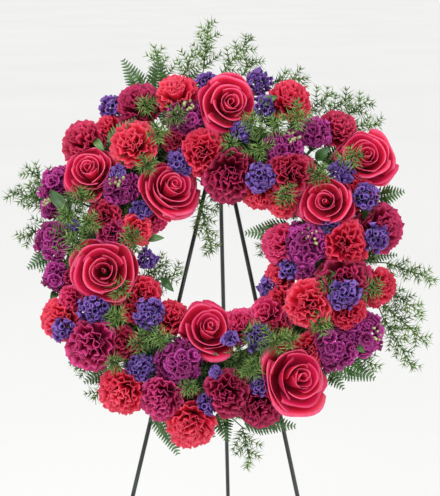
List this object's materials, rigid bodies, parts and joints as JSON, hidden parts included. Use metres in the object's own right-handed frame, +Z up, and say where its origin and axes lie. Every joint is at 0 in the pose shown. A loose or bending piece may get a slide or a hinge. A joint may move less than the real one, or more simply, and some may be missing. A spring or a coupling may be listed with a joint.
{
  "type": "funeral wreath on easel",
  "caption": "Ring of fresh roses, carnations, stock, statice and greens on a foam ring, hung on a folding three-legged wire easel.",
  "frame": {"origin": "centre of the bounding box's base, on the floor between the three feet", "axes": "+Z up, the wreath faces -Y and leans back 12 degrees, +X to its right as seen from the front"},
  "size_m": [0.6348, 0.6666, 1.2443],
  "materials": {
    "rose_petal": "soft satin rose petals, hot pink with darker folds",
    "carnation_petal": "matt ruffled carnation petals, coral red to burgundy",
    "stock_petal": "matt magenta-purple stock florets",
    "statice_bract": "papery blue-violet statice",
    "foliage": "fresh green asparagus sprays and leatherleaf fern",
    "foam": "soaked green floral foam",
    "tray": "moulded dark green plastic",
    "easel_wire": "dark green-black enamelled steel wire",
    "bolt": "zinc-plated steel"
  },
  "bodies": {
    "stand_and_wreath": {"backing_tray": "tray", "carnations_bottom_left": "carnation_petal", "carnations_bottom_right": "carnation_petal", "carnations_far_left": "carnation_petal", "carnations_hole_lower_right": "carnation_petal", "carnations_inner_left": "carnation_petal", "carnations_inner_right": "carnation_petal", "carnations_inner_top": "carnation_petal", "carnations_inner_upper_right": "carnation_petal", "carnations_left": "carnation_petal", "carnations_lower_inner_right": "carnation_petal", "carnations_lower_left": "carnation_petal", "carnations_lower_right": "carnation_petal", "carnations_right": "carnation_petal", "carnations_top_left": "carnation_petal", "carnations_top_right": "carnation_petal", "carnations_upper_left": "carnation_petal", "easel_leg_left": "easel_wire", "easel_leg_right": "easel_wire", "foam_ring": "foam", "greens_bottom": "foliage", "greens_face_bottom": "foliage", "greens_hole_left": "foliage", "greens_hole_right": "foliage", "greens_hole_top": "foliage", "greens_left": "foliage", "greens_lower_left": "foliage", "greens_lower_right": "foliage", "greens_right": "foliage", "greens_top": "foliage", "greens_top_right": "foliage", "pivot_bolt": "bolt", "ring_hook": "easel_wire", "rose_bottom": "rose_petal", "rose_inner_left": "rose_petal", "rose_left": "rose_petal", "rose_lower_right": "rose_petal", "rose_right": "rose_petal", "rose_top": "rose_petal", "rose_upper_left": "rose_petal", "rose_upper_right": "rose_petal", "statice_and_fern_top_left": "statice_bract", "statice_bottom": "statice_bract", "statice_far_left": "statice_bract", "statice_hole_right": "statice_bract", "statice_inner_top": "statice_bract", "statice_lower_left": "statice_bract", "statice_right": "statice_bract", "statice_top": "statice_bract", "statice_upper_left": "statice_bract", "statice_upper_right": "statice_bract", "stock_bottom": "stock_petal", "stock_inner_left": "stock_petal", "stock_left": "stock_petal", "stock_lower_right": "stock_petal", "stock_right": "stock_petal", "stock_top": "stock_petal", "stock_top_right": "stock_petal"},
    "back_leg": {"easel_leg_back": "easel_wire"}
  },
  "joints": [
    {"name": "back_leg_fold", "type": "hinge", "parent": "stand_and_wreath", "child": "back_leg", "pos_m": [-0.00593, -0.10078, 1.05], "axis": [-1, 0, 0], "range_deg": [0, 34]}
  ]
}
